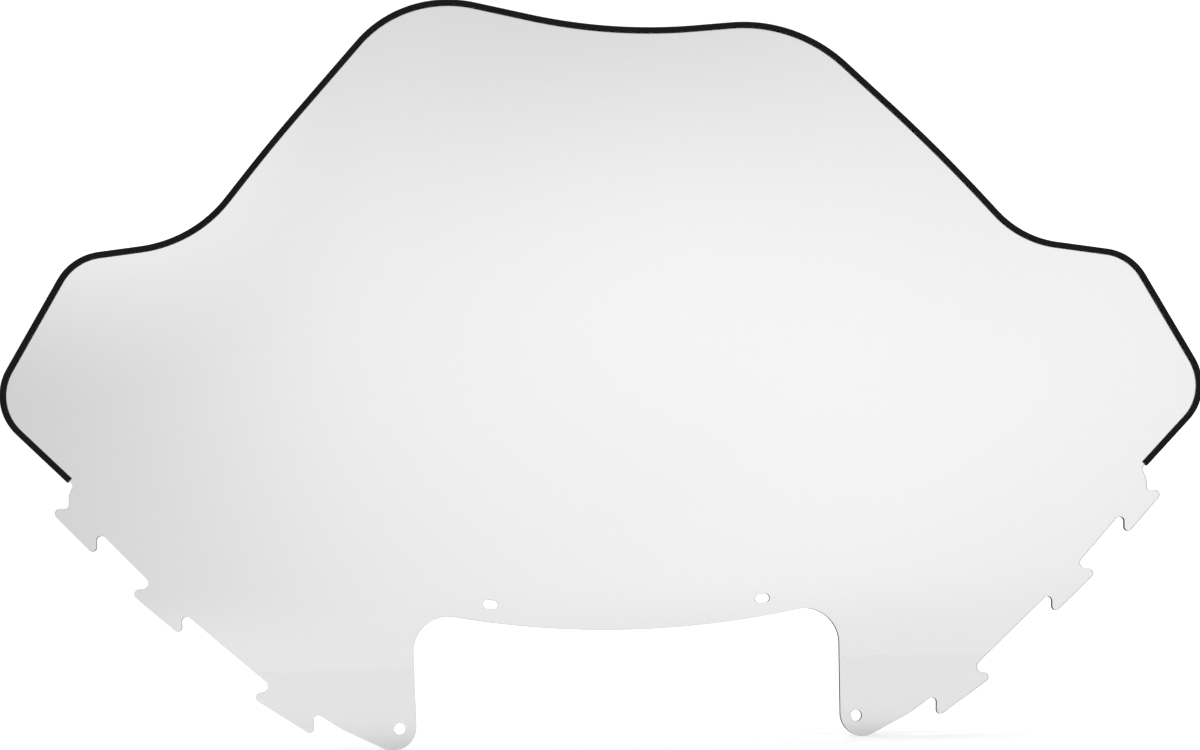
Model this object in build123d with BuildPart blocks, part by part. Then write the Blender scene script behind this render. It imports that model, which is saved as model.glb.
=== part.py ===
from build123d import *
import os
from math import cos, hypot, radians, tan

# Flat clear windshield for a snow vehicle's hood. The sheet stands in the XZ plane with its
# front face toward -Y, +Z up, X = 0 on its centre line and Z = 0 under its two mounting ears.
# Its lower half is the same on both sides. The trimmed top edge is not: the crown on the -X
# side stands higher than the one on the +X side. A corner is given where its two straight
# sides would meet, before it is rounded. All sizes are in millimetres.

# ---- sheet ----
sheet_width = 860.0  # across the two side lobes
sheet_height = 533.6  # from the ears' lowest points to the higher crown
sheet_thickness = 3.0
edge_break = 0.25  # small chamfer along every cut edge

# ---- gauge notch between the ears ----
notch_half_width = 150.9
notch_height = 68.1  # unrounded middle of its shallow, downward-bowed top
notch_rise = 26.9  # from that middle to the notch's upper corners
notch_bow_radius = 650.0
notch_corner_radius = 24.0

# ---- mounting ears ----
ear_lean = 2.8  # how far an ear's inner side leans in toward its foot
ear_foot_drop = 9.83  # the foot's unrounded corner, below Z = 0
ear_foot_radius = 15.8
ear_bend = (199.0, 15.0)  # where the ear's outer side steepens
ear_bend_radius = 45.0
ear_hole_diameter = 8.0
ear_hole_spacing = 320.4
ear_hole_height = 14.4

# ---- slots over the notch ----
slot_length = 10.2
slot_width = 6.0
slot_spacing = 192.4
slot_height = 98.0
slot_tilt = 7.2  # each slot falls toward the centre line, like the notch's top

# ---- hook tabs: a land, then a tab that stands out below it, three times on each side ----
toe_tip_radius = 3.4
heel_tip_radius = 3.0
heel_gullet_radius = 3.2
heel_lean = 1.2  # a heel leans toward the centre line from its gullet to its tip
toe_gullet_radius = 4.0
land_angles = (33.2, 41.1, 45.9)  # slopes of the lands, from the ear outward
tab_heights = (14.0, 13.0, 13.5)  # from a land's line to its tab's outer face, square to both
heel_offsets = (218.7, 307.6, 365.2)  # the middle of each tab's nearly upright lower end
toe_heights = (42.0, 114.0, 170.0)  # each tab's upper end is cut level here
land_starts = (ear_bend[0], 243.1, 325.0)  # where each land's line starts

# ---- relief between the last tab and the trimmed edge ----
relief_wall = 384.2
relief_corner_radius = 2.0
relief_straight = 8.8  # upright stretch above the tab's toe
relief_lean = 2.9  # the wall then leans in by this much
relief_lean_rise = 7.3
relief_lean_radius = 8.0
relief_tip_radius = 2.5

# ---- trimmed edge ----
lobe_overshoot = 8.7  # the unrounded lobe corner stands this far outside the lobe
lobe_height = 242.0
lobe_radius = 37.0
shoulder_inset = 46.5  # in from the lobe's tip
shoulder_rise = 103.3  # above the lobe's corner
shoulder_radius = 36.0
neck_inset = 129.6
neck_rise = 114.8
neck_radii = (72.0, 90.0)  # the +X side, then the -X side
flank_place = 0.38  # a flank's bend, as a share of the way from its neck to its crown
flank_bulges = (0.0198, 0.0108)  # how far the bend stands out, in straight ways, same order
flank_radius = 5.1  # in straight ways
crown_offsets = (138.0, 150.9)  # the +X crown, then the -X crown
crown_overshoot = 9.09  # the unrounded higher crown stands this far above the sheet
crown_radii = (107.0, 86.0)
crown_difference = 19.4  # the +X crown's corner is this much lower
saddle_drop = 32.5  # from the higher crown's corner down to the saddle's corner
saddle_radius = 400.0

# ---- edge trim: a flexible U-channel pushed over the trimmed edge ----
trim_crown = 1.6  # outside the sheet's edge
trim_grip = 2.7  # inside the sheet's edge
trim_leg = 1.0
trim_slip = 0.05  # clearance on each face of the sheet
trim_crown_radius = 1.2
trim_tip_radius = 0.4
trim_setback = 4.1  # from the edge's unrounded lower corner to the trim's cut end
bead_thickness = 0.3  # adhesive between the sheet's edge and the channel's root

front = Plane.XZ
from_below = (Align.CENTER, Align.MIN)


def mirrored(points):
    """The same corners on the -X side, in the order that closes the outline."""
    return [(-x, z) for x, z in reversed(points)]


def distance(start, end):
    """How far apart two points are."""
    return hypot(end[0] - start[0], end[1] - start[1])


def step_toward(start, end, length):
    """The point that lies the given length from start toward end."""
    share = length / distance(start, end)
    return (start[0] + share * (end[0] - start[0]), start[1] + share * (end[1] - start[1]))


def bowed(start, end, share, bulge):
    """The point a share of the way from start to end, moved out by bulge times that way."""
    run = end[0] - start[0]
    rise = end[1] - start[1]
    return (start[0] + share * run + bulge * rise, start[1] + share * rise - bulge * run)


# ---- corners of the lower right side, from the notch outward ----
notch_corner = (notch_half_width, notch_height + notch_rise)
ear_foot = (notch_half_width - ear_lean, -ear_foot_drop)
side_corners = [notch_corner, ear_foot, ear_bend]
side_radii = [notch_corner_radius, ear_foot_radius, ear_bend_radius]

land_start = ear_bend
next_starts = land_starts[1:] + (relief_wall,)
tab_rows = zip(land_angles, tab_heights, heel_offsets, toe_heights, next_starts)
for angle, height, heel_x, toe_z, next_x in tab_rows:
    slope = tan(radians(angle))
    middle_height = land_start[1] + (heel_x - land_start[0]) * slope
    crest = (heel_x + heel_lean / 2, middle_height + heel_lean / 2 * slope)
    heel_height = middle_height - height / cos(radians(angle))
    heel = (heel_x - heel_lean / 2, heel_height - heel_lean / 2 * slope)
    toe = (heel_x + (toe_z - heel_height) / slope, toe_z)
    land_start = (next_x, toe_z)
    side_corners += [crest, heel, toe, land_start]
    side_radii += [heel_gullet_radius, heel_tip_radius, toe_tip_radius, toe_gullet_radius]
side_radii[-1] = relief_corner_radius

relief_knee = (relief_wall, land_start[1] + relief_straight)
relief_tip = (relief_wall - relief_lean, relief_knee[1] + relief_lean_rise)
side_corners += [relief_knee, relief_tip]
side_radii += [relief_lean_radius, relief_tip_radius]

# ---- corners of the trimmed edge, from the +X side over the top to the -X side ----
half_width = sheet_width / 2
lobe = (half_width + lobe_overshoot, lobe_height)
shoulder = (half_width - shoulder_inset, lobe_height + shoulder_rise)
neck = (half_width - neck_inset, lobe_height + neck_rise)
higher_crown = (-crown_offsets[1], sheet_height + crown_overshoot)
lower_crown = (crown_offsets[0], higher_crown[1] - crown_difference)
saddle = (0.0, higher_crown[1] - saddle_drop)
shared_corners = [lobe, shoulder, neck]
far_corners = mirrored(shared_corners)
near_flank = bowed(neck, lower_crown, flank_place, flank_bulges[0])
far_flank = bowed(higher_crown, far_corners[0], 1 - flank_place, flank_bulges[1])
top_corners = shared_corners + [near_flank, lower_crown, saddle, higher_crown, far_flank] + far_corners
near_flank_radius = flank_radius * distance(neck, lower_crown)
far_flank_radius = flank_radius * distance(higher_crown, far_corners[0])
top_radii = [lobe_radius, shoulder_radius, neck_radii[0], near_flank_radius, crown_radii[0]]
top_radii += [saddle_radius, crown_radii[1], far_flank_radius, neck_radii[1]]
top_radii += [shoulder_radius, lobe_radius]

outline_corners = [(0.0, notch_height)] + side_corners + top_corners + mirrored(side_corners)
outline_radii = [notch_bow_radius] + side_radii + top_radii + side_radii[::-1]

# ---- windshield panel ----
with BuildPart() as windshield_panel:
    with BuildSketch(front):
        with BuildLine():
            FilletPolyline(*outline_corners, radius=outline_radii, close=True)
        make_face()
        for side in (1, -1):
            with Locations((side * ear_hole_spacing / 2, ear_hole_height)):
                Circle(ear_hole_diameter / 2, mode=Mode.SUBTRACT)
            with Locations((side * slot_spacing / 2, slot_height)):
                SlotOverall(slot_length, slot_width, rotation=side * slot_tilt, mode=Mode.SUBTRACT)
    extrude(amount=sheet_thickness / 2, both=True)
    chamfer(windshield_panel.faces().filter_by(Axis.Y).edges(), edge_break)

# ---- line of the trimmed edge between the trim's two cut ends ----
trim_start = step_toward(relief_tip, lobe, trim_setback)
trim_corners = [trim_start] + top_corners + mirrored([trim_start])
with BuildLine(front) as trimmed_edge:
    FilletPolyline(*trim_corners, radius=top_radii)
edge_path = trimmed_edge.wire()
# local X runs through the sheet and local Y points out of its edge
trim_section = Plane(edge_path @ 0, x_dir=(0, 1, 0), z_dir=-(edge_path % 0))

# ---- edge trim ----
channel_width = sheet_thickness + 2 * trim_slip
trim_width = channel_width + 2 * trim_leg
with BuildPart() as edge_trim:
    with BuildSketch(trim_section) as trim_profile:
        with Locations((0, -trim_grip)):
            Rectangle(trim_width, trim_grip + trim_crown, align=from_below)
        fillet(trim_profile.vertices().group_by(Axis.Y)[-1], trim_crown_radius)
        fillet(trim_profile.vertices().group_by(Axis.Y)[0], trim_tip_radius)
        with Locations((0, -trim_grip)):
            Rectangle(channel_width, trim_grip + bead_thickness, align=from_below, mode=Mode.SUBTRACT)
    sweep(path=edge_path)

# ---- adhesive bead in the channel's root ----
bead_width = sheet_thickness - 2 * edge_break
with BuildPart() as trim_adhesive:
    with BuildSketch(trim_section):
        Rectangle(bead_width, bead_thickness, align=from_below)
    sweep(path=edge_path)

windshield_panel.part.label = "windshield_panel"
edge_trim.part.label = "edge_trim"
trim_adhesive.part.label = "trim_adhesive"

os.makedirs("parts", exist_ok=True)
export_step(windshield_panel.part, "parts/windshield_panel.step")
export_step(edge_trim.part, "parts/edge_trim.step")
export_step(trim_adhesive.part, "parts/trim_adhesive.step")
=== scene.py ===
"""Clear snow vehicle windshield with a black edge trim, dressed for a studio view.

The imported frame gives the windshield's three pieces: a flat polycarbonate sheet, a U-shaped vinyl
trim along its upper edge, and the adhesive in the trim's channel. Each is replaced by a finer
mesh of the same sizes, worked out from the sheet's corners and radii, and gets its finish here.
The studio's floor, light and camera follow.
"""

from __future__ import annotations

import logging
import math
from dataclasses import dataclass, field
from enum import Enum

import bpy
import numpy as np
from mathutils import Matrix, Vector
from mathutils.geometry import delaunay_2d_cdt

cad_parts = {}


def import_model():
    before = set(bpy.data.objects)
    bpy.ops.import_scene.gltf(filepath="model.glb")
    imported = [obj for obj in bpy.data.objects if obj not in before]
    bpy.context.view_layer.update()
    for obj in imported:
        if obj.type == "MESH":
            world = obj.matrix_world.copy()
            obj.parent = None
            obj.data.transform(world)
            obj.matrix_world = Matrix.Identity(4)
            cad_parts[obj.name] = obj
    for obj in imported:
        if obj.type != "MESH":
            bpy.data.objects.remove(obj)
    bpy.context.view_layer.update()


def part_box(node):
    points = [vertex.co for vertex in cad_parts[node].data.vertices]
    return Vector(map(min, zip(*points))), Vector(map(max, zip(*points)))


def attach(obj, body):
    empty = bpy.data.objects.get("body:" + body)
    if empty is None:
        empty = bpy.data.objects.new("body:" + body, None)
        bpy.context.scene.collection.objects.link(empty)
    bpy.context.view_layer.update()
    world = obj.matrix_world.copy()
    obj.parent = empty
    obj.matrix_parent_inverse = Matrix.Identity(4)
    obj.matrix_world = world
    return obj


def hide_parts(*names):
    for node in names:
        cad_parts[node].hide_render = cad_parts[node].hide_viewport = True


LOG = logging.getLogger("windshield")
MM = 0.001
BOX_TOLERANCE = 0.0003  # metres, between a finer piece's box and its CAD node's
SAME_POINT = 1e-6  # millimetres, under which two points of a line are one
JOINING_GAP = 1e-7  # millimetres, for joining the face's points
NOISE_SPAN = (0.3, 0.7)  # where most of a noise pattern's values lie
EDGE_UV = "edge run and girth"
Point = tuple[float, float]


class Fineness(Enum):
    """How far a rounded corner's flat steps may leave its true arc, in millimetres."""

    EDGE = 0.005
    SECTION = 0.012


def linear(hex_colour: str) -> tuple[float, float, float, float]:
    """Turn an sRGB hex colour into the linear colour that shaders take.

    Args:
        hex_colour: six hex digits, with or without a leading hash.

    Returns:
        Linear red, green, blue and an alpha of 1.
    """
    digits = hex_colour.lstrip("#")
    channels = np.array([int(digits[i : i + 2], 16) for i in (0, 2, 4)]) / 255.0
    red, green, blue = np.where(
        channels <= 0.04045, channels / 12.92, ((channels + 0.055) / 1.055) ** 2.4
    )
    return (float(red), float(green), float(blue), 1.0)


def per_metre(size_mm: float) -> float:
    """The texture scale that gives a pattern this size in millimetres on coordinates in metres."""
    return 1.0 / (size_mm * MM)


def add_node(
    tree: bpy.types.NodeTree, kind: str, settings: dict | None = None, links: dict | None = None
) -> bpy.types.Node:
    """Add one shader node with its settings and incoming links.

    Args:
        tree: node tree that takes the node.
        kind: Blender's node type name.
        settings: attribute names, or input names or numbers, with their values.
        links: input names or numbers with the output sockets that feed them.

    Returns:
        The new node.
    """
    node = tree.nodes.new(kind)
    for name, value in (settings or {}).items():
        if isinstance(name, str) and hasattr(node, name):
            setattr(node, name, value)
        else:
            node.inputs[name].default_value = value
    for name, socket in (links or {}).items():
        tree.links.new(socket, node.inputs[name])
    return node


def new_material(name: str) -> tuple[bpy.types.Material, bpy.types.NodeTree]:
    """Make an empty node material.

    Args:
        name: the material's name.

    Returns:
        The material and its node tree.
    """
    material = bpy.data.materials.new(name)
    material.use_nodes = True
    material.node_tree.nodes.clear()
    return material, material.node_tree


def add_noise(
    tree: bpy.types.NodeTree, vector: bpy.types.NodeSocket, **settings: float
) -> bpy.types.NodeSocket:
    """Add a noise pattern.

    Args:
        tree: node tree that takes the pattern.
        vector: where the pattern is read.
        settings: the pattern's scale, detail, roughness and distortion.

    Returns:
        The pattern's value.
    """
    values = {name.capitalize(): value for name, value in settings.items()}
    return add_node(tree, "ShaderNodeTexNoise", values, {"Vector": vector}).outputs[0]


def add_ramp(
    tree: bpy.types.NodeTree,
    value: bpy.types.NodeSocket,
    span: Point,
    low: float,
    high: float | bpy.types.NodeSocket,
    shape: str = "LINEAR",
) -> bpy.types.NodeSocket:
    """Add a ramp that is level on both sides of its span.

    Args:
        tree: node tree that takes the ramp.
        value: the ramp's input.
        span: the input where the ramp starts, and where it ends.
        low: the output at its start.
        high: the output at its end, as a number or a socket.
        shape: LINEAR, or SMOOTHSTEP for rounded ends.

    Returns:
        The ramp's output.
    """
    settings, links = {"interpolation_type": shape, 1: span[0], 2: span[1], 3: low}, {0: value}
    (links if isinstance(high, bpy.types.NodeSocket) else settings)[4] = high
    return add_node(tree, "ShaderNodeMapRange", settings, links).outputs[0]


def add_blend(
    tree: bpy.types.NodeTree,
    share: bpy.types.NodeSocket,
    first: str | bpy.types.NodeSocket,
    second: str,
) -> bpy.types.NodeSocket:
    """Blend two colours.

    Args:
        tree: node tree that takes the blend.
        share: how much of the second colour shows.
        first: the first colour, as hex digits or a socket.
        second: the second colour, as hex digits.

    Returns:
        The blended colour.
    """
    settings, links = {"data_type": "RGBA", 7: linear(second)}, {0: share}
    if isinstance(first, str):
        settings[6] = linear(first)
    else:
        links[6] = first
    return add_node(tree, "ShaderNodeMix", settings, links).outputs[2]


def add_bump(
    tree: bpy.types.NodeTree, height: bpy.types.NodeSocket, depth_mm: float, strength: float
) -> bpy.types.NodeSocket:
    """Turn a pattern into a bumpy surface.

    Args:
        tree: node tree that takes the bump.
        height: the pattern.
        depth_mm: how far a full step of the pattern stands out, in millimetres.
        strength: how much of it shows.

    Returns:
        The surface's normal.
    """
    settings = {"Strength": strength, "Distance": depth_mm * MM}
    return add_node(tree, "ShaderNodeBump", settings, {"Height": height}).outputs[0]


# ---- lines in the sheet's plane, and surfaces carried along them ----


def turned(vectors: np.ndarray, angles: np.ndarray) -> np.ndarray:
    """Turn plane vectors counter-clockwise.

    Args:
        vectors: plane vectors, two numbers each.
        angles: how far each turns, in radians.

    Returns:
        The turned vectors.
    """
    cos, sin = np.cos(angles), np.sin(angles)
    across, up = vectors[..., 0], vectors[..., 1]
    return np.stack([cos * across - sin * up, sin * across + cos * up], axis=-1)


@dataclass(frozen=True)
class EdgeLine:
    """A line of points in a plane, in millimetres, with its direction at each point."""

    points: np.ndarray
    directions: np.ndarray
    closed: bool

    @property
    def outward(self) -> np.ndarray:
        """Unit vectors to the right of the line's direction, which point out of the material."""
        return np.stack([self.directions[:, 1], -self.directions[:, 0]], axis=-1)

    @property
    def steps(self) -> np.ndarray:
        """Distances between neighbouring points.

        Returns:
            The distance from each point to the next one, round to the first on a closed line.
        """
        ahead = np.roll(self.points, -1, axis=0) - self.points
        lengths = np.linalg.norm(ahead, axis=1)
        return lengths if self.closed else lengths[:-1]

    @property
    def runs(self) -> np.ndarray:
        """Length along the line up to each point, and up to its closing on a closed line."""
        return np.concatenate([[0.0], np.cumsum(self.steps)])

    def divided(self, longest: float) -> EdgeLine:
        """Divide the long straight steps of the line.

        A new point lies an even share of the way along its step, and keeps its step's direction.

        Args:
            longest: the longest step that stays whole, in millimetres.

        Returns:
            The line with its new points.
        """
        counts = np.maximum(np.ceil(self.steps / longest), 1).astype(int)
        if not self.closed:
            counts = np.append(counts, 1)
        owner = np.repeat(np.arange(len(counts)), counts)
        first = np.cumsum(counts) - counts
        share = (np.arange(counts.sum()) - first[owner]) / counts[owner]
        ahead = np.roll(self.points, -1, axis=0) - self.points
        points = self.points[owner] + share[:, None] * ahead[owner]
        return EdgeLine(points, self.directions[owner], self.closed)


def rounded_line(
    corners: list[Point], radii: list[float], closed: bool, fineness: Fineness
) -> EdgeLine:
    """Join straight runs by arcs that touch both runs of each corner.

    An arc starts before its corner by the radius times the tangent of half the turn. Its centre
    is a radius away from there, square to the run, and the arc's points are the start turned
    about that centre by even shares of the whole turn.

    Args:
        corners: where the straight runs meet, in millimetres.
        radii: one for each corner of a closed line, or for each inner corner of an open one.
        closed: whether the last corner joins the first.
        fineness: how close the arcs' steps stay to their true arcs.

    Returns:
        The rounded line.
    """
    places = np.array(corners, dtype=float)
    sizes = np.array(radii if closed else [0.0, *radii, 0.0], dtype=float)
    leaving = np.roll(places, -1, axis=0) - places
    arriving = np.roll(leaving, 1, axis=0)
    if not closed:
        arriving[0] = leaving[0]
        leaving[-1] = arriving[-1]
    arriving /= np.linalg.norm(arriving, axis=1, keepdims=True)
    leaving /= np.linalg.norm(leaving, axis=1, keepdims=True)
    cross = arriving[:, 0] * leaving[:, 1] - arriving[:, 1] * leaving[:, 0]
    turns = np.arctan2(cross, np.sum(arriving * leaving, axis=1))
    starts = places - arriving * (sizes * np.tan(np.abs(turns) / 2))[:, None]
    arms = turned(arriving, -np.sign(turns) * math.pi / 2) * sizes[:, None]
    step_angles = np.sqrt(8 * fineness.value / np.maximum(sizes, fineness.value))
    counts = np.where(sizes > 0, np.ceil(np.abs(turns) / step_angles), 0).astype(int) + 1
    owner = np.repeat(np.arange(len(places)), counts)
    first = np.cumsum(counts) - counts
    share = (np.arange(counts.sum()) - first[owner]) / np.maximum(counts - 1, 1)[owner]
    angles = share * turns[owner]
    points = (starts - arms)[owner] + turned(arms[owner], angles)
    directions = turned(arriving[owner], angles)
    gaps = np.linalg.norm(points - np.roll(points, 1, axis=0), axis=1)
    apart = gaps > SAME_POINT
    return EdgeLine(points[apart], directions[apart], closed)


def carried(line: EdgeLine, through: np.ndarray, outside: np.ndarray) -> np.ndarray:
    """Carry a profile along a line in the sheet's plane.

    A point is the line's own point, plus its outward direction times the profile's distance
    outside the line, with Y as the profile's distance through the sheet.

    Args:
        line: the line that the profile follows, in X and Z.
        through: the profile's Y, one row for each point of the line or one row for them all.
        outside: the profile's distance outside the line, in the same form.

    Returns:
        Points in millimetres, as line points by profile points by three.
    """
    through, outside = np.broadcast_arrays(np.atleast_2d(through), np.atleast_2d(outside))
    plane = line.points[:, None, :] + line.outward[:, None, :] * outside[:, :, None]
    through = np.broadcast_to(through, plane.shape[:2])
    return np.stack([plane[..., 0], through, plane[..., 1]], axis=-1)


def grid_quads(rows: int, columns: int, rows_close: bool, columns_close: bool) -> np.ndarray:
    """Number the corners of the quads between the points of a grid.

    Args:
        rows: points along the line.
        columns: points round the profile.
        rows_close: whether the last row joins the first.
        columns_close: whether the last column joins the first.

    Returns:
        Four point numbers for each quad.
    """
    row, column = np.meshgrid(
        np.arange(rows if rows_close else rows - 1),
        np.arange(columns if columns_close else columns - 1),
        indexing="ij",
    )
    next_row, next_column = (row + 1) % rows, (column + 1) % columns
    quads = [row * columns + column, row * columns + next_column]
    quads += [next_row * columns + next_column, next_row * columns + column]
    return np.stack(quads, axis=-1).reshape(-1, 4)


def grid_uv(runs: np.ndarray, girths: np.ndarray) -> np.ndarray:
    """Give each quad's four corners their length along the line and round the profile, in metres.

    Args:
        runs: length along the line at each row, one more than the rows on a closed line.
        girths: length round the profile at each column, one more on a closed profile.

    Returns:
        One UV for each corner of each quad of grid_quads, in its order.
    """
    row, column = np.meshgrid(
        np.arange(len(runs) - 1), np.arange(len(girths) - 1), indexing="ij"
    )
    rows = np.stack([row, row, row + 1, row + 1], axis=-1)
    columns = np.stack([column, column + 1, column + 1, column], axis=-1)
    return np.stack([runs[rows], girths[columns]], axis=-1).reshape(-1, 2) * MM


def add_piece(
    name: str, points: np.ndarray, faces: list[list[int]], uv: np.ndarray, smooth: np.ndarray
) -> bpy.types.Object:
    """Make an object from points in millimetres.

    Args:
        name: the object's and its mesh's name.
        points: the mesh's points.
        faces: point numbers of each face, counter-clockwise from outside.
        uv: length along and round the edge for every corner of the first faces, in metres.
        smooth: whether each face is shaded smooth.

    Returns:
        The object, at the origin.
    """
    mesh = bpy.data.meshes.new(name)
    mesh.from_pydata((points.reshape(-1, 3) * MM).tolist(), [], faces)
    mesh.polygons.foreach_set("use_smooth", smooth)
    layer = mesh.uv_layers.new(name=EDGE_UV)
    every = np.zeros((len(mesh.loops), 2))
    every[: len(uv)] = uv
    layer.data.foreach_set("uv", every.ravel())
    mesh.update()
    piece = bpy.data.objects.new(name, mesh)
    bpy.context.scene.collection.objects.link(piece)
    return piece


def add_swept(
    name: str, line: EdgeLine, section: EdgeLine, through: np.ndarray, outside: np.ndarray
) -> bpy.types.Object:
    """Make an object by carrying a closed section along an open line, with a face at each end.

    Args:
        name: the object's and its mesh's name.
        line: the line that the section follows.
        section: the section itself, which gives the UV's length round it.
        through: the section's Y at each point of the line, in millimetres.
        outside: the section's distance outside the line, in the same form.

    Returns:
        The object, at the origin.
    """
    points = carried(line, through, outside)
    rows, columns = points.shape[:2]
    quads = grid_quads(rows, columns, False, True)
    caps = [list(range(columns))[::-1], list(range((rows - 1) * columns, rows * columns))]
    smooth = np.arange(len(quads) + 2) < len(quads)
    uv = grid_uv(line.runs, section.runs)
    return add_piece(name, points, quads.tolist() + caps, uv, smooth)


# ---- finishes ----


@dataclass(frozen=True)
class ClearPolycarbonate:
    """Extruded polycarbonate sheet, 3 mm, press-polished on both faces.

    Its faces are glossy and nearly flat. The eye gets a faint grey of the sheet's own, reflections
    that waver a little from the die, and hairline scuffs from wiping that only dull the gloss.
    """

    name: str = "clear polycarbonate"
    tint: str = "#CACACA"
    ior: float = 1.585
    polished: float = 0.012
    scuffed: float = 0.06
    wave_mm: float = 90.0
    wave_depth_mm: float = 0.02
    # real hairlines are a few hundredths of a millimetre wide, and these are drawn coarser to show
    scuff_width_mm: float = 0.7
    scuff_length_mm: float = 40.0
    scuff_slant: float = 24.0
    scuff_span: Point = (0.62, 0.8)

    def build(self) -> bpy.types.Material:
        """Make the material.

        Returns:
            Clear tinted glass with a wavering, lightly scuffed surface.
        """
        material, tree = new_material(self.name)
        place = add_node(tree, "ShaderNodeTexCoord").outputs["Object"]
        scuffs = {
            "Rotation": (0.0, math.radians(self.scuff_slant), 0.0),
            "Scale": (per_metre(self.scuff_length_mm), 1.0, per_metre(self.scuff_width_mm)),
        }
        stretched = add_node(tree, "ShaderNodeMapping", scuffs, {"Vector": place}).outputs[0]
        hairs = add_noise(tree, stretched, scale=1.0, detail=3.0, roughness=0.6, distortion=0.8)
        wiped = add_ramp(tree, hairs, self.scuff_span, self.polished, self.scuffed)
        waves = add_noise(tree, place, scale=per_metre(self.wave_mm), detail=1.0)
        shader = add_node(
            tree,
            "ShaderNodeBsdfPrincipled",
            {"Base Color": linear(self.tint), "IOR": self.ior, "Transmission Weight": 1.0},
            {"Roughness": wiped, "Normal": add_bump(tree, waves, self.wave_depth_mm, 1.0)},
        )
        add_node(tree, "ShaderNodeOutputMaterial", links={0: shader.outputs[0]})
        return material


@dataclass(frozen=True)
class RoutedPolycarbonate:
    """The same sheet where a router cut through it.

    A routed wall is frosted by the cutter's marks, which stand across the edge. From outside it
    is painted a dark grey, which is painted shade for the dark line that the wall shows because
    most light inside the sheet runs past it. From inside it is left clear, so that this painted
    shade doesn't darken the faces beside it.
    """

    name: str = "routed polycarbonate edge, painted shade"
    tint: str = "#CACACA"
    # the wall's two dark greys are painted shade for the dark line at the cut, mottled by the
    # cutter's marks
    wall_painted_shade: str = "#1D1E1F"
    cutter_mark_and_shade: str = "#37393A"
    ior: float = 1.585
    low: float = 0.5
    high: float = 0.75
    specular: float = 0.08
    inner_roughness: float = 0.02
    # cutter marks are about 0.2 mm apart, and are drawn coarser to show
    mark_mm: float = 0.8
    mark_length_mm: float = 6.0
    mark_depth_mm: float = 0.03

    def build(self) -> bpy.types.Material:
        """Make the material.

        Returns:
            Dark grey painted shade with the cutter's marks across the edge outside, and clear glass
            inside.
        """
        material, tree = new_material(self.name)
        run = add_node(tree, "ShaderNodeUVMap", {"uv_map": EDGE_UV}).outputs[0]
        scale = (per_metre(self.mark_mm), per_metre(self.mark_length_mm), 1.0)
        across = add_node(tree, "ShaderNodeMapping", {"Scale": scale}, {"Vector": run}).outputs[0]
        marks = add_noise(tree, across, scale=1.0, detail=4.0, roughness=0.65)
        # outside, the wall's dark grey is painted shade, mottled by the cutter's marks
        outside = add_node(
            tree,
            "ShaderNodeBsdfPrincipled",
            {"Specular IOR Level": self.specular},
            {
                "Base Color": add_blend(tree, marks, self.wall_painted_shade, self.cutter_mark_and_shade),
                "Roughness": add_ramp(tree, marks, NOISE_SPAN, self.low, self.high),
                "Normal": add_bump(tree, marks, self.mark_depth_mm, 0.6),
            },
        )
        glass = {"Base Color": linear(self.tint), "IOR": self.ior, "Transmission Weight": 1.0}
        glass["Roughness"] = self.inner_roughness
        inside = add_node(tree, "ShaderNodeBsdfPrincipled", glass)
        # the painted shade shows from outside only, and from inside the wall is clear glass
        side = add_node(tree, "ShaderNodeNewGeometry").outputs["Backfacing"]
        faces = {0: side, 1: outside.outputs[0], 2: inside.outputs[0]}
        shader = add_node(tree, "ShaderNodeMixShader", links=faces)
        add_node(tree, "ShaderNodeOutputMaterial", links={0: shader.outputs[0]})
        return material


@dataclass(frozen=True)
class FlexibleVinyl:
    """Plasticised PVC, extruded: near black and satin.

    The die leaves fine lines along its length, plasticiser blooms in soft matt patches, and a few
    pale specks of dust settle on it.
    """

    name: str = "extruded black vinyl"
    colour: str = "#070708"
    bloom: str = "#0F0F11"
    dust: str = "#303031"
    specular: float = 0.09
    low: float = 0.42
    high: float = 0.62
    # die lines are about 0.1 mm apart, and are drawn coarser to show
    line_mm: float = 0.35
    line_length_mm: float = 120.0
    line_depth_mm: float = 0.03
    bloom_mm: float = 26.0
    bloom_span: Point = (0.35, 0.7)
    speck_mm: float = 1.1
    dust_span: Point = (0.66, 0.78)
    dust_share: float = 0.5

    def build(self) -> bpy.types.Material:
        """Make the material.

        Returns:
            Satin black with die lines, bloom and dust.
        """
        material, tree = new_material(self.name)
        place = add_node(tree, "ShaderNodeTexCoord").outputs["Object"]
        run = add_node(tree, "ShaderNodeUVMap", {"uv_map": EDGE_UV}).outputs[0]
        scale = (per_metre(self.line_length_mm), per_metre(self.line_mm), 1.0)
        along = add_node(tree, "ShaderNodeMapping", {"Scale": scale}, {"Vector": run}).outputs[0]
        lines = add_noise(tree, along, scale=1.0, detail=3.0, roughness=0.55)
        patches = add_noise(tree, place, scale=per_metre(self.bloom_mm), detail=4.0, roughness=0.6)
        specks = add_noise(tree, place, scale=per_metre(self.speck_mm), detail=2.0, roughness=0.7)
        bloomed = add_ramp(tree, patches, self.bloom_span, 0.0, 1.0)
        dusty = add_ramp(tree, specks, self.dust_span, 0.0, self.dust_share)
        body = add_blend(tree, bloomed, self.colour, self.bloom)
        shader = add_node(
            tree,
            "ShaderNodeBsdfPrincipled",
            {"Specular IOR Level": self.specular},
            {
                "Base Color": add_blend(tree, dusty, body, self.dust),
                "Roughness": add_ramp(tree, patches, NOISE_SPAN, self.low, self.high),
                "Normal": add_bump(tree, lines, self.line_depth_mm, 0.5),
            },
        )
        add_node(tree, "ShaderNodeOutputMaterial", links={0: shader.outputs[0]})
        return material


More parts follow.
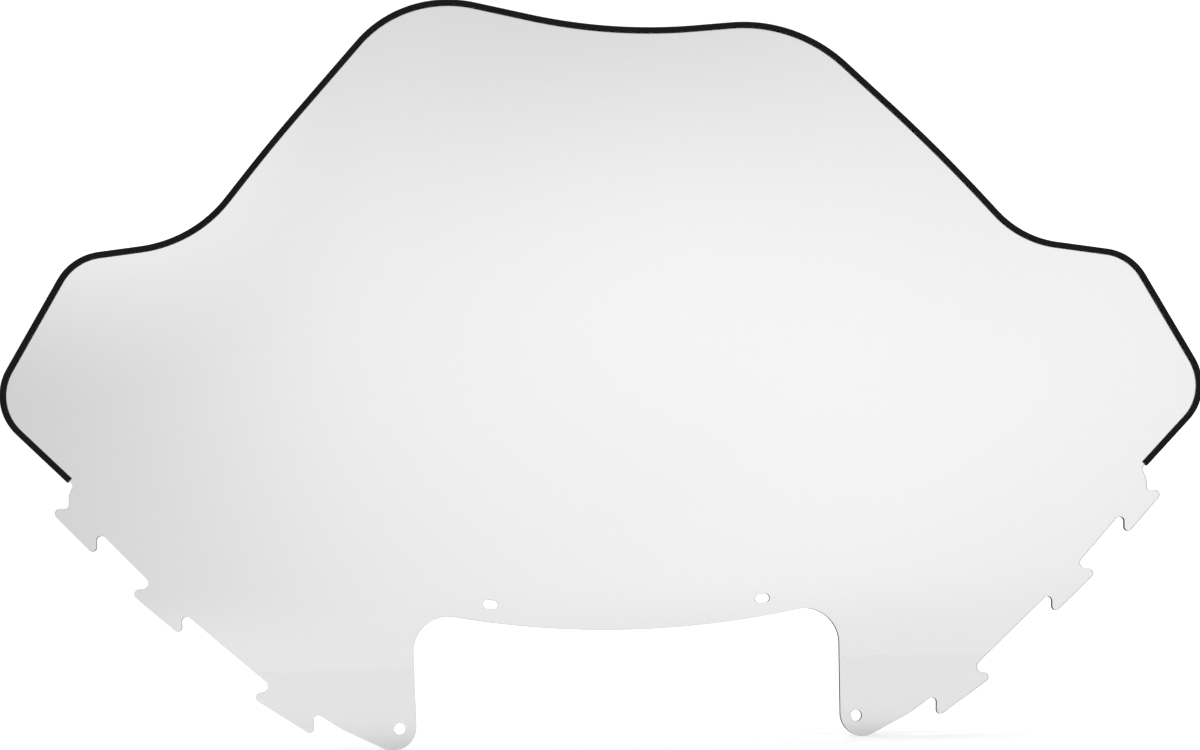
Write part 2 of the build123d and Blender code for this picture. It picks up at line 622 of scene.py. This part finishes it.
@dataclass(frozen=True)
class ContactAdhesive:
    """Dried contact adhesive: dark brown, dull and a little lumpy, with cloudy paler places."""

    name: str = "dried contact adhesive"
    colour: str = "#2A231C"
    cloud: str = "#4A3F33"
    low: float = 0.55
    high: float = 0.85
    lump_mm: float = 1.5
    lump_depth_mm: float = 0.08

    def build(self) -> bpy.types.Material:
        """Make the material.

        Returns:
            Dull brown with lumps.
        """
        material, tree = new_material(self.name)
        place = add_node(tree, "ShaderNodeTexCoord").outputs["Object"]
        lumps = add_noise(tree, place, scale=per_metre(self.lump_mm), detail=3.0)
        links = {
            "Base Color": add_blend(tree, lumps, self.colour, self.cloud),
            "Roughness": add_ramp(tree, lumps, NOISE_SPAN, self.low, self.high),
            "Normal": add_bump(tree, lumps, self.lump_depth_mm, 0.7),
        }
        shader = add_node(tree, "ShaderNodeBsdfPrincipled", links=links)
        add_node(tree, "ShaderNodeOutputMaterial", links={0: shader.outputs[0]})
        return material


@dataclass(frozen=True)
class StudioPaper:
    """Seamless background paper, uncoated: matt white, with a faint tooth and no gloss."""

    name: str = "studio paper"
    colour: str = "#F6F6F6"
    shade: str = "#F1F1F1"
    tooth_mm: float = 1.2
    roughness: float = 0.95

    def build(self) -> bpy.types.Material:
        """Make the material.

        Returns:
            Matt white with a fine, faint mottle.
        """
        material, tree = new_material(self.name)
        place = add_node(tree, "ShaderNodeTexCoord").outputs["Object"]
        tooth = add_noise(tree, place, scale=per_metre(self.tooth_mm), detail=2.0)
        shader = add_node(
            tree,
            "ShaderNodeBsdfPrincipled",
            {"Roughness": self.roughness, "Specular IOR Level": 0.0},
            {"Base Color": add_blend(tree, tooth, self.colour, self.shade)},
        )
        add_node(tree, "ShaderNodeOutputMaterial", links={0: shader.outputs[0]})
        return material


# ---- the sheet's edge ----


def mirrored(points: list[Point]) -> list[Point]:
    """The same corners on the -X side, in the order that closes the edge."""
    return [(-x, z) for x, z in reversed(points)]


@dataclass(frozen=True)
class Tab:
    """One hook tab and the land below it, in millimetres and degrees."""

    land_angle: float
    height: float
    heel_offset: float
    toe_height: float
    land_start: float


@dataclass(frozen=True)
class SheetEdge:
    """Corners and radii of the sheet's cut edge, in millimetres.

    The front faces -Y, X is 0 on the centre line and Z is 0 under the two ears. A corner is given
    where its two straight sides would meet. The lower half is the same on both sides, and the
    crown on the -X side of the top stands higher than the other.
    """

    width: float = 860.0
    height: float = 533.6
    notch_half_width: float = 150.9
    notch_height: float = 68.1
    notch_rise: float = 26.9
    notch_bow_radius: float = 650.0
    notch_corner_radius: float = 24.0
    ear_lean: float = 2.8
    ear_foot_drop: float = 9.83
    ear_foot_radius: float = 15.8
    ear_bend: Point = (199.0, 15.0)
    ear_bend_radius: float = 45.0
    ear_hole_diameter: float = 8.0
    ear_hole_spacing: float = 320.4
    ear_hole_height: float = 14.4
    slot_length: float = 10.2
    slot_width: float = 6.0
    slot_spacing: float = 192.4
    slot_height: float = 98.0
    slot_tilt: float = 7.2
    tabs: tuple[Tab, ...] = (
        Tab(33.2, 14.0, 218.7, 42.0, 199.0),
        Tab(41.1, 13.0, 307.6, 114.0, 243.1),
        Tab(45.9, 13.5, 365.2, 170.0, 325.0),
    )
    toe_tip_radius: float = 3.4
    heel_tip_radius: float = 3.0
    heel_gullet_radius: float = 3.2
    heel_lean: float = 1.2
    toe_gullet_radius: float = 4.0
    relief_wall: float = 384.2
    relief_corner_radius: float = 2.0
    relief_straight: float = 8.8
    relief_lean: float = 2.9
    relief_lean_rise: float = 7.3
    relief_lean_radius: float = 8.0
    relief_tip_radius: float = 2.5
    lobe_overshoot: float = 8.7
    lobe_height: float = 242.0
    lobe_radius: float = 37.0
    shoulder_inset: float = 46.5
    shoulder_rise: float = 103.3
    shoulder_radius: float = 36.0
    neck_inset: float = 129.6
    neck_rise: float = 114.8
    neck_radii: tuple[float, float] = (72.0, 90.0)
    flank_place: float = 0.38
    flank_bulges: tuple[float, float] = (0.0198, 0.0108)
    flank_radius: float = 5.1
    crown_offsets: tuple[float, float] = (138.0, 150.9)
    crown_overshoot: float = 9.09
    crown_radii: tuple[float, float] = (107.0, 86.0)
    crown_difference: float = 19.4
    saddle_drop: float = 32.5
    saddle_radius: float = 400.0

    def lower_side(self) -> tuple[list[Point], list[float]]:
        """Place the +X side's corners from the notch out to the relief's tip.

        A land rises from its start at its own angle to the tab's lower end. There the edge drops
        by the tab's height over the angle's cosine, leaning a little toward the centre line. It
        runs outward in line with the land to the height of the tab's upper end, and turns back
        level to the next land's start.

        Returns:
            The corners and their radii.
        """
        corners = [
            (self.notch_half_width, self.notch_height + self.notch_rise),
            (self.notch_half_width - self.ear_lean, -self.ear_foot_drop),
            self.ear_bend,
        ]
        radii = [self.notch_corner_radius, self.ear_foot_radius, self.ear_bend_radius]
        start_height = self.ear_bend[1]
        next_starts = [tab.land_start for tab in self.tabs[1:]] + [self.relief_wall]
        for tab, next_start in zip(self.tabs, next_starts):
            slope = math.tan(math.radians(tab.land_angle))
            lean = self.heel_lean / 2
            crest = start_height + (tab.heel_offset - tab.land_start) * slope
            heel = crest - tab.height / math.cos(math.radians(tab.land_angle))
            toe = tab.heel_offset + (tab.toe_height - heel) / slope
            corners += [(tab.heel_offset + lean, crest + lean * slope)]
            corners += [(tab.heel_offset - lean, heel - lean * slope)]
            corners += [(toe, tab.toe_height), (next_start, tab.toe_height)]
            radii += [self.heel_gullet_radius, self.heel_tip_radius]
            radii += [self.toe_tip_radius, self.toe_gullet_radius]
            start_height = tab.toe_height
        radii[-1] = self.relief_corner_radius
        knee = (self.relief_wall, start_height + self.relief_straight)
        tip = (self.relief_wall - self.relief_lean, knee[1] + self.relief_lean_rise)
        return corners + [knee, tip], radii + [self.relief_lean_radius, self.relief_tip_radius]

    def bowed(self, start: Point, end: Point, share: float, bulge: float) -> Point:
        """Bend a straight way.

        The bend lies its share of the way along, plus the bulge times the way turned right.

        Args:
            start: where the way starts.
            end: where the way ends.
            share: the bend's share of the way.
            bulge: how far out the bend stands, in lengths of the way.

        Returns:
            The bend's corner.
        """
        way = np.subtract(end, start)
        out = np.array([way[1], -way[0]]) * bulge
        x, z = np.array(start) + share * way + out
        return (float(x), float(z))

    def top(self) -> tuple[list[Point], list[float]]:
        """Place the trimmed edge's corners, from the +X lobe over both crowns to the -X lobe.

        Returns:
            The corners and their radii.
        """
        half = self.width / 2
        lobe = (half + self.lobe_overshoot, self.lobe_height)
        shoulder = (half - self.shoulder_inset, self.lobe_height + self.shoulder_rise)
        neck = (half - self.neck_inset, self.lobe_height + self.neck_rise)
        higher = (-self.crown_offsets[1], self.height + self.crown_overshoot)
        lower = (self.crown_offsets[0], higher[1] - self.crown_difference)
        saddle = (0.0, higher[1] - self.saddle_drop)
        far = mirrored([lobe, shoulder, neck])
        near_flank = self.bowed(neck, lower, self.flank_place, self.flank_bulges[0])
        far_flank = self.bowed(higher, far[0], 1 - self.flank_place, self.flank_bulges[1])
        corners = [lobe, shoulder, neck, near_flank, lower, saddle, higher, far_flank, *far]
        near_radius = self.flank_radius * math.dist(neck, lower)
        far_radius = self.flank_radius * math.dist(higher, far[0])
        radii = [self.lobe_radius, self.shoulder_radius, self.neck_radii[0], near_radius]
        radii += [self.crown_radii[0], self.saddle_radius, self.crown_radii[1]]
        radii += [far_radius, self.neck_radii[1], self.shoulder_radius, self.lobe_radius]
        return corners, radii

    def outline(self) -> EdgeLine:
        """Join all the corners.

        Returns:
            The sheet's whole edge, counter-clockwise from the front.
        """
        side, side_radii = self.lower_side()
        top, top_radii = self.top()
        corners = [(0.0, self.notch_height), *side, *top, *mirrored(side)]
        radii = [self.notch_bow_radius, *side_radii, *top_radii, *side_radii[::-1]]
        return rounded_line(corners, radii, True, Fineness.EDGE)

    def trimmed(self, setback: float) -> EdgeLine:
        """The part of the edge that the trim covers.

        Args:
            setback: from the edge's lower corner up to the trim's cut end, along the edge.

        Returns:
            The open line from the +X end over the top to the -X end.
        """
        tip = np.array(self.lower_side()[0][-1])
        top, radii = self.top()
        way = np.array(top[0]) - tip
        x, z = tip + way * setback / np.hypot(*way)
        end = (float(x), float(z))
        return rounded_line([end, *top, (-end[0], end[1])], radii, False, Fineness.EDGE)

    def openings(self) -> list[EdgeLine]:
        """Round the two ear holes and the two slots, clockwise.

        Each is a rectangle whose corner radius is half its width, turned by its tilt.

        Returns:
            One closed line for each opening.
        """
        hole = (self.ear_hole_diameter, self.ear_hole_diameter)
        slot = (self.slot_length, self.slot_width)
        lines = []
        for side in (1, -1):
            for size, x, z, tilt in (
                (hole, self.ear_hole_spacing / 2, self.ear_hole_height, 0.0),
                (slot, self.slot_spacing / 2, self.slot_height, self.slot_tilt),
            ):
                signs = np.array([(-1, -1), (-1, 1), (1, 1), (1, -1)])
                corners = turned(signs * np.array(size) / 2, np.radians(side * tilt))
                places = corners + np.array([side * x, z])
                lines.append(rounded_line(places.tolist(), [size[1] / 2] * 4, True, Fineness.EDGE))
        return lines


# ---- the three pieces ----


@dataclass
class WindshieldPanel:
    """The flat sheet: two polished faces, and routed walls with softened edges."""

    edge: SheetEdge
    thickness: float = 3.0
    edge_break: float = 0.25
    break_steps: int = 3
    longest_step: float = 8.0
    face_grid: float = 22.0
    grid_clearance: float = 7.0
    name: str = "clear_panel"
    faces: ClearPolycarbonate = field(default_factory=ClearPolycarbonate)
    walls: RoutedPolycarbonate = field(default_factory=RoutedPolycarbonate)

    def wall_profile(self) -> tuple[np.ndarray, np.ndarray]:
        """Round both arrises of the wall.

        Going from the front face to the back one, a point on an arris is the edge break's centre
        plus its radius turned through a quarter, in even shares.

        Returns:
            Y of each point, and its distance outside the edge, which is never above 0.
        """
        angle = np.linspace(0.0, math.pi / 2, self.break_steps + 1)
        half = self.thickness / 2
        front = -half + self.edge_break * (1 - np.cos(angle))
        outside = self.edge_break * (np.sin(angle) - 1)
        return np.concatenate([front, -front[::-1]]), np.concatenate([outside, outside[::-1]])

    def inner_points(self, lines: list[EdgeLine]) -> np.ndarray:
        """Spread even points over the face, clear of every edge.

        A grid point stays if a ray from it toward +X crosses the outline an odd number of times,
        and if no edge point is nearer than the clearance.

        Args:
            lines: the outline, then the openings.

        Returns:
            Points in the sheet's plane.
        """
        half = self.edge.width / 2
        x, z = np.meshgrid(
            np.arange(-half, half, self.face_grid), np.arange(0.0, self.edge.height, self.face_grid)
        )
        points = np.stack([x.ravel(), z.ravel()], axis=-1)
        start = lines[0].points
        end = np.roll(start, -1, axis=0)
        above = start[None, :, 1] > points[:, None, 1]
        spans = above != (end[None, :, 1] > points[:, None, 1])
        rise = np.where(end[:, 1] == start[:, 1], 1.0, end[:, 1] - start[:, 1])
        share = (points[:, None, 1] - start[None, :, 1]) / rise
        crossing = start[None, :, 0] + share * (end - start)[None, :, 0]
        crossed = np.sum(spans & (crossing > points[:, None, 0]), axis=1)
        every = np.concatenate([line.points for line in lines])
        gaps = np.linalg.norm(points[:, None, :] - every[None, :, :], axis=2).min(axis=1)
        return points[(crossed % 2 == 1) & (gaps > self.grid_clearance)]

    def face_triangles(self, lines: list[EdgeLine], plane: np.ndarray) -> np.ndarray:
        """Triangulate the front face between its borders.

        The triangulation is a Delaunay one that keeps every border's steps. It also fills the
        openings, so a triangle whose three corners are on one opening's border is left out. A
        triangle whose area, half the cross product of two of its sides, is negative is reversed.

        Args:
            lines: the outline, then the openings.
            plane: the borders' points in the lines' order, then the points inside the face.

        Returns:
            Three point numbers for each triangle, counter-clockwise from the front.

        Raises:
            RuntimeError: if joining the points changed them.
        """
        sizes = [len(line.points) for line in lines]
        loops, first = [], 0
        for size in sizes:
            number = np.arange(size)
            loops.append(np.stack([number, (number + 1) % size], axis=-1) + first)
            first += size
        cut = delaunay_2d_cdt(
            [Vector(point) for point in plane.tolist()],
            np.concatenate(loops).tolist(),
            [],
            1,
            JOINING_GAP,
        )
        if len(cut[0]) != len(plane):
            raise RuntimeError("the panel's face points changed when they were joined")
        triangles = np.array([list(face) for face in cut[2]])
        border = np.zeros(len(plane), dtype=int)
        border[:first] = np.repeat(np.arange(len(sizes)), sizes)
        border = border[triangles]
        in_opening = (border[:, 0] > 0) & np.all(border == border[:, :1], axis=1)
        triangles = triangles[~in_opening]
        one, two, three = (plane[triangles[:, i]] for i in range(3))
        side, other = two - one, three - one
        area = side[:, 0] * other[:, 1] - side[:, 1] * other[:, 0]
        triangles[area < 0] = triangles[area < 0][:, ::-1]
        return triangles

    def build(self) -> bpy.types.Object:
        """Make the sheet.

        Each edge line carries the wall's profile, whose first and last columns are the borders of
        the front and the back face. The back face is the front one's triangles turned over.

        Returns:
            The sheet's object.
        """
        lines = [self.edge.outline(), *self.edge.openings()]
        lines = [line.divided(self.longest_step) for line in lines]
        through, outside = self.wall_profile()
        girths = np.concatenate([[0.0], np.cumsum(np.hypot(np.diff(through), np.diff(outside)))])
        columns = len(through)
        walls, quads, wall_uv, start = [], [], [], 0
        for line in lines:
            rows = len(line.points)
            walls.append(carried(line, through, outside).reshape(-1, 3))
            quads.append(grid_quads(rows, columns, True, False) + start * columns)
            wall_uv.append(grid_uv(line.runs, girths))
            start += rows
        wall_points, wall_quads = np.concatenate(walls), np.concatenate(quads)
        border = np.arange(start) * columns
        inner = self.inner_points(lines)
        plane = np.concatenate([wall_points[border][:, [0, 2]], inner])
        triangles = self.face_triangles(lines, plane)
        depth = np.full(len(inner), -self.thickness / 2)
        front_inner = np.stack([inner[:, 0], depth, inner[:, 1]], axis=-1)
        back_inner = front_inner * (1, -1, 1)
        number = len(wall_points) + np.arange(len(inner))
        front = np.concatenate([border, number])
        back = np.concatenate([border + columns - 1, number + len(inner)])
        faces = wall_quads.tolist() + front[triangles].tolist()
        faces += back[triangles[:, ::-1]].tolist()
        smooth = np.arange(len(faces)) < len(wall_quads)
        points = np.concatenate([wall_points, front_inner, back_inner])
        piece = add_piece(self.name, points, faces, np.concatenate(wall_uv), smooth)
        piece.data.materials.append(self.faces.build())
        piece.data.materials.append(self.walls.build())
        # the outermost strip of each arris is polished with its face, and the rest is routed and
        # carries the wall's painted shade
        strip = np.arange(columns - 1)
        routed = np.zeros(len(faces), dtype=np.int32)
        routed[: len(wall_quads)] = np.tile((strip > 0) & (strip < columns - 2), start)
        piece.data.polygons.foreach_set("material_index", routed)
        return piece


@dataclass
class EdgeTrim:
    """The U-channel that grips the sheet's upper edge, cut square at both ends."""

    edge: SheetEdge
    sheet: float = 3.0
    crown: float = 1.6
    grip: float = 2.7
    leg: float = 1.0
    slip: float = 0.05
    crown_radius: float = 1.2
    tip_radius: float = 0.4
    inner_radius: float = 0.12
    root: float = 0.3
    setback: float = 4.1
    longest_step: float = 6.0
    section_step: float = 0.6
    end_round: float = 0.15
    end_shares: tuple[float, ...] = (0.2, 0.5, 1.0)
    name: str = "vinyl_trim"
    finish: FlexibleVinyl = field(default_factory=FlexibleVinyl)

    def section(self) -> EdgeLine:
        """Round the U's corners.

        Returns:
            The U's closed outline, with X through the sheet and Y out of its edge.
        """
        inside = self.sheet / 2 + self.slip
        outside = inside + self.leg
        right = [(outside, -self.grip), (outside, self.crown)]
        left = [(-outside, self.crown), (-outside, -self.grip)]
        channel = [(-inside, -self.grip), (-inside, self.root)]
        channel += [(inside, self.root), (inside, -self.grip)]
        radii = [self.tip_radius, self.crown_radius, self.crown_radius, self.tip_radius]
        radii += [self.inner_radius] * 4
        return rounded_line(right + left + channel, radii, True, Fineness.SECTION)

    def build(self) -> bpy.types.Object:
        """Make the trim.

        The section is carried along the trimmed edge. Near a cut end it is drawn in along its own
        outward directions, by the end rounding less the height of a quarter circle, which softens
        the cut's arris.

        Returns:
            The trim's object.
        """
        line = self.edge.trimmed(self.setback).divided(self.longest_step)
        line = self.with_end_rows(line)
        section = self.section().divided(self.section_step)
        from_end = np.minimum(line.runs, line.runs[-1] - line.runs)
        depth = np.clip(1 - from_end / self.end_round, 0.0, 1.0)
        drawn_in = self.end_round * (1 - np.sqrt(1 - depth**2))
        through = section.points[None, :, 0] - drawn_in[:, None] * section.outward[None, :, 0]
        outside = section.points[None, :, 1] - drawn_in[:, None] * section.outward[None, :, 1]
        piece = add_swept(self.name, line, section, through, outside)
        piece.data.materials.append(self.finish.build())
        return piece

    def with_end_rows(self, line: EdgeLine) -> EdgeLine:
        """Add close rows at both ends for the cut's rounding.

        Args:
            line: the trimmed edge.

        Returns:
            The line with more points near each end, at shares of the end rounding from it.
        """
        near = self.end_round * np.array(self.end_shares)
        first = line.points[0] + near[:, None] * line.directions[0]
        last = line.points[-1] - near[::-1, None] * line.directions[-1]
        points = [line.points[:1], first, line.points[1:-1], last, line.points[-1:]]
        counts = np.ones(len(line.points), dtype=int)
        counts[[0, -1]] += len(near)
        directions = np.repeat(line.directions, counts, axis=0)
        return EdgeLine(np.concatenate(points), directions, False)


@dataclass
class AdhesiveBead:
    """The thin bead between the sheet's edge and the root of the trim's channel."""

    edge: SheetEdge
    width: float = 2.5
    thickness: float = 0.3
    corner_radius: float = 0.1
    setback: float = 4.1
    longest_step: float = 6.0
    narrowing: float = 0.25
    # two waves of the run: millimetres for each radian, height, and start in radians
    waves: tuple[tuple[float, float, float], ...] = ((21.0, 1.0, 0.0), (7.3, 0.5, 1.0))
    name: str = "adhesive_bead"
    finish: ContactAdhesive = field(default_factory=ContactAdhesive)

    def build(self) -> bpy.types.Object:
        """Make the bead.

        Its section is a rectangle that grows narrower and wider along the edge: its width is
        shared by one less a few slow waves of the run, so that it never passes its full width.

        Returns:
            The bead's object.
        """
        line = self.edge.trimmed(self.setback).divided(self.longest_step)
        half = self.width / 2
        corners = [(half, 0.0), (half, self.thickness), (-half, self.thickness), (-half, 0.0)]
        section = rounded_line(corners, [self.corner_radius] * 4, True, Fineness.SECTION)
        wave = sum(np.sin(line.runs / length + start) * high for length, high, start in self.waves)
        highest = sum(high for _, high, _ in self.waves)
        share = 1 - self.narrowing / self.width * (highest - wave) / highest
        through = section.points[None, :, 0] * share[:, None]
        piece = add_swept(self.name, line, section, through, section.points[None, :, 1])
        piece.data.materials.append(self.finish.build())
        return piece


# ---- studio ----


@dataclass(frozen=True)
class SoftLight:
    """One soft patch of the studio's light, strongest at its middle and gone at its spread."""

    toward: tuple[float, float, float]
    spread: float
    strength: float


@dataclass
class Studio:
    """A pale paper floor under soft light from all round, with brighter patches."""

    floor_half: float = 20.0
    floor_drop: float = 0.0001
    all_round: float = 0.85
    behind: float = 1.02
    # a direction's own Y, between which the light turns from all round to behind
    behind_starts: float = -0.3
    behind_full: float = 0.5
    # the paper's brightness at the horizon, and the direction's own Z where it has ended
    sweep: float = 1.3
    sweep_rise: float = 0.04
    lights: tuple[SoftLight, ...] = (
        SoftLight((0.067, 1.0, 0.039), 18.3, 0.382),
        SoftLight((-0.163, 1.0, 0.280), 8.5, 0.610),
        SoftLight((0.010, 1.0, 0.227), 12.1, 0.261),
        SoftLight((0.181, 1.0, 0.231), 8.6, 0.115),
        SoftLight((0.352, 1.0, 0.151), 19.1, 0.469),
        SoftLight((0.0, 0.0, 1.0), 70.0, 1.25),
        SoftLight((0.75, -1.0, 0.25), 50.0, 0.5),
    )

    def build(self) -> None:
        """Make the floor and the world light."""
        half = self.floor_half
        corners = [(-half, -half), (half, -half), (half, half), (-half, half)]
        mesh = bpy.data.meshes.new("floor")
        mesh.from_pydata([(x, y, -self.floor_drop) for x, y in corners], [], [(0, 1, 2, 3)])
        mesh.materials.append(StudioPaper().build())
        floor = bpy.data.objects.new("floor", mesh)
        bpy.context.scene.collection.objects.link(floor)
        self.light_world()

    def light_world(self) -> None:
        """Fill the world with light.

        A direction's brightness is the even light behind or all round, plus for each patch its
        strength times a smooth step that falls from 1 at its middle to 0 at its spread. Toward
        the horizon it turns into the sweep's own, which is close to the floor's, so that the
        paper seems to curve up with no line.
        """
        world = bpy.data.worlds.new("studio light")
        bpy.context.scene.world = world
        world.use_nodes = True
        tree = world.node_tree
        tree.nodes.clear()
        direction = add_node(tree, "ShaderNodeTexCoord").outputs["Generated"]
        axes = add_node(tree, "ShaderNodeSeparateXYZ", links={0: direction})
        spread, ends = (self.behind_starts, self.behind_full), (self.all_round, self.behind)
        total = add_ramp(tree, axes.outputs["Y"], spread, *ends, "SMOOTHSTEP")
        for patch in self.lights:
            middle = {"operation": "DOT_PRODUCT", 1: Vector(patch.toward).normalized()}
            along = add_node(tree, "ShaderNodeVectorMath", middle, {0: direction}).outputs["Value"]
            angle = add_node(tree, "ShaderNodeMath", {"operation": "ARCCOSINE"}, {0: along})
            spread = (math.radians(patch.spread), 0.0)
            glow = add_ramp(tree, angle.outputs[0], spread, 0.0, patch.strength, "SMOOTHSTEP")
            total = add_node(tree, "ShaderNodeMath", links={0: total, 1: glow}).outputs[0]
        rise = (0.0, self.sweep_rise)
        total = add_ramp(tree, axes.outputs["Z"], rise, self.sweep, total, "SMOOTHSTEP")
        white = {"Color": (1.0, 1.0, 1.0, 1.0)}
        light = add_node(tree, "ShaderNodeBackground", white, {"Strength": total})
        add_node(tree, "ShaderNodeOutputWorld", links={0: light.outputs[0]})


@dataclass
class Viewpoint:
    """A camera low on the -X side, looking a little up at the sheet."""

    place: tuple[float, float, float] = (-0.1783, -1.4030, 0.0596)
    aim: tuple[float, float, float] = (-0.0151, 0.0, 0.2589)
    roll: float = -1.524
    lens: float = 60.0
    sensor: float = 36.0

    def build(self) -> None:
        """Make the camera and make it the scene's."""
        data = bpy.data.cameras.new("camera")
        data.lens = self.lens
        data.sensor_width = self.sensor
        camera = bpy.data.objects.new("camera", data)
        bpy.context.scene.collection.objects.link(camera)
        place = Vector(self.place)
        forward = (Vector(self.aim) - place).normalized()
        turn = forward.to_track_quat("-Z", "Y").to_matrix()
        turn = turn @ Matrix.Rotation(math.radians(self.roll), 3, "Z")
        camera.matrix_world = Matrix.Translation(place) @ turn.to_4x4()
        bpy.context.scene.camera = camera


def put_in_place(piece: bpy.types.Object, node: str) -> None:
    """Let a finer piece stand for its CAD node, and check that it fills the same box.

    Args:
        piece: the finer piece.
        node: the CAD node that it stands for.

    Raises:
        RuntimeError: if the two boxes differ.
    """
    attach(piece, "root")
    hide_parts(node)
    places = np.zeros(len(piece.data.vertices) * 3)
    piece.data.vertices.foreach_get("co", places)
    places = places.reshape(-1, 3)
    made = np.array([places.min(axis=0), places.max(axis=0)])
    gap = np.abs(made - np.array([list(corner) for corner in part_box(node)])).max()
    count = len(piece.data.polygons)
    LOG.info("%s stands for %s, %d faces, %.2f mm off", piece.name, node, count, gap / MM)
    if gap > BOX_TOLERANCE:
        raise RuntimeError(f"{piece.name} doesn't fill the box of {node}")


def main() -> None:
    """Load the frame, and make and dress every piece."""
    logging.basicConfig(level=logging.INFO, format="%(name)s: %(message)s")
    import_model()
    edge = SheetEdge()
    put_in_place(WindshieldPanel(edge).build(), "windshield_panel")
    put_in_place(EdgeTrim(edge).build(), "edge_trim")
    put_in_place(AdhesiveBead(edge).build(), "trim_adhesive")
    Studio().build()
    Viewpoint().build()
    bpy.context.scene.view_settings.view_transform = "Standard"


if __name__ == "__main__":
    main()
